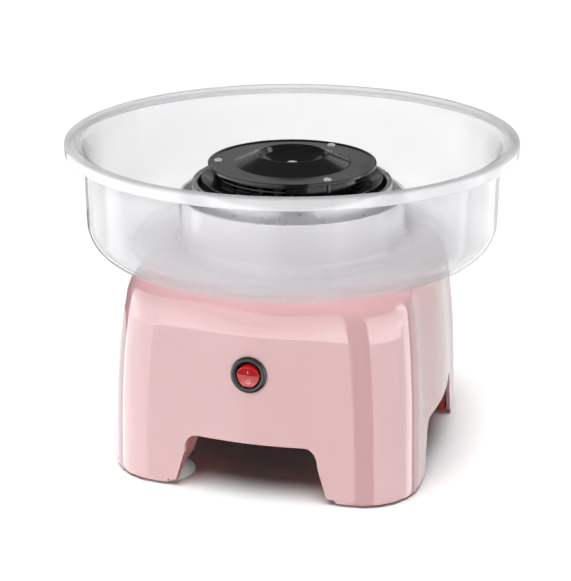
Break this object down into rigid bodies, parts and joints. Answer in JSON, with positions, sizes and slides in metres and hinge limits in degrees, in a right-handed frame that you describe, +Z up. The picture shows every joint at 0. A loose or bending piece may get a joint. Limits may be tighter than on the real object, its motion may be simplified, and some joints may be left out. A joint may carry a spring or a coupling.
{
  "type": "cotton candy machine",
  "caption": "Household cotton candy machine: a pink moulded base on four legs, a round translucent bowl and a black spinning heated head.",
  "frame": {"origin": "on the table surface, under the spinning head's axis", "axes": "+Z up along the head's axis, -Y towards the face with the switch, +X to the right of someone facing the switch"},
  "size_m": [0.29, 0.29, 0.2088],
  "materials": {
    "housing_plastic": "glossy",
    "cover_plastic": "satin",
    "bowl_plastic": "glossy",
    "guard_metal": "satin",
    "head_black": "glossy",
    "switch_black": "glossy",
    "rocker_red": "glossy",
    "gland_plastic": "matte",
    "cup_rubber": "satin",
    "bright_steel": "bright",
    "zinc_steel": "zinc plated",
    "hub_aluminium": "machined",
    "ferrite": "matte",
    "carbon": "matte",
    "bronze": "satin",
    "brass": "polished",
    "copper": "enamelled",
    "core_steel": "laminated",
    "bakelite": "satin",
    "lead_sleeve": "woven",
    "ceramic": "matte",
    "heater_metal": "oxidised",
    "nylon": "matte",
    "circuit_board": "satin",
    "wire_insulation": "satin"
  },
  "bodies": {
    "root": {"housing": "housing_plastic", "bottom_cover": "cover_plastic", "cover_screws": "bright_steel", "suction_cup_front_left": "cup_rubber", "suction_cup_front_right": "cup_rubber", "suction_cup_rear_left": "cup_rubber", "suction_cup_rear_right": "cup_rubber", "cord_gland": "gland_plastic", "gland_nut": "gland_plastic", "guard_pan": "guard_metal", "pan_screws": "bright_steel", "motor_plate": "zinc_steel", "plate_posts": "zinc_steel", "plate_screws": "bright_steel", "post_screws": "bright_steel", "motor_screws": "bright_steel", "motor_can": "zinc_steel", "motor_magnets": "ferrite", "motor_end_cap": "gland_plastic", "motor_brushes": "carbon", "upper_bush": "bronze", "lower_bush": "bronze", "brush_block": "bakelite", "brush_springs": "bronze", "carbon_brushes": "carbon", "switch_body": "switch_black", "switch_terminals": "brass", "terminal_block": "nylon", "rectifier_board": "circuit_board", "thermal_fuse": "ceramic", "wiring": "wire_insulation"},
    "spinner": {"drive_shaft": "bright_steel", "rotor_core": "core_steel", "rotor_windings": "copper", "commutator": "copper", "slip_ring_sleeve": "bakelite", "slip_ring_upper": "brass", "slip_ring_lower": "brass", "head_hub": "hub_aluminium", "head_leads": "lead_sleeve", "head_dish": "head_black", "slotted_ring": "head_black", "heater_supports": "ceramic", "heater_element": "heater_metal", "head_cover": "head_black", "cover_fixings": "bright_steel", "head_nut": "bright_steel"},
    "rocker": {"switch_rocker": "rocker_red"},
    "bowl": {"bowl": "bowl_plastic"}
  },
  "joints": [
    {"name": "head_spin", "type": "hinge", "parent": "root", "child": "spinner", "pos_m": [0, 0, 0.1], "axis": [0, 0, 1], "continuous": true},
    {"name": "switch_rock", "type": "hinge", "parent": "root", "child": "rocker", "pos_m": [0, -0.10036, 0.08289], "axis": [-1, 0, 0], "range_deg": [0, 22]},
    {"name": "bowl_lift", "type": "slide", "parent": "root", "child": "bowl", "axis": [0, 0, 1], "range_m": [0, 0.08]}
  ]
}
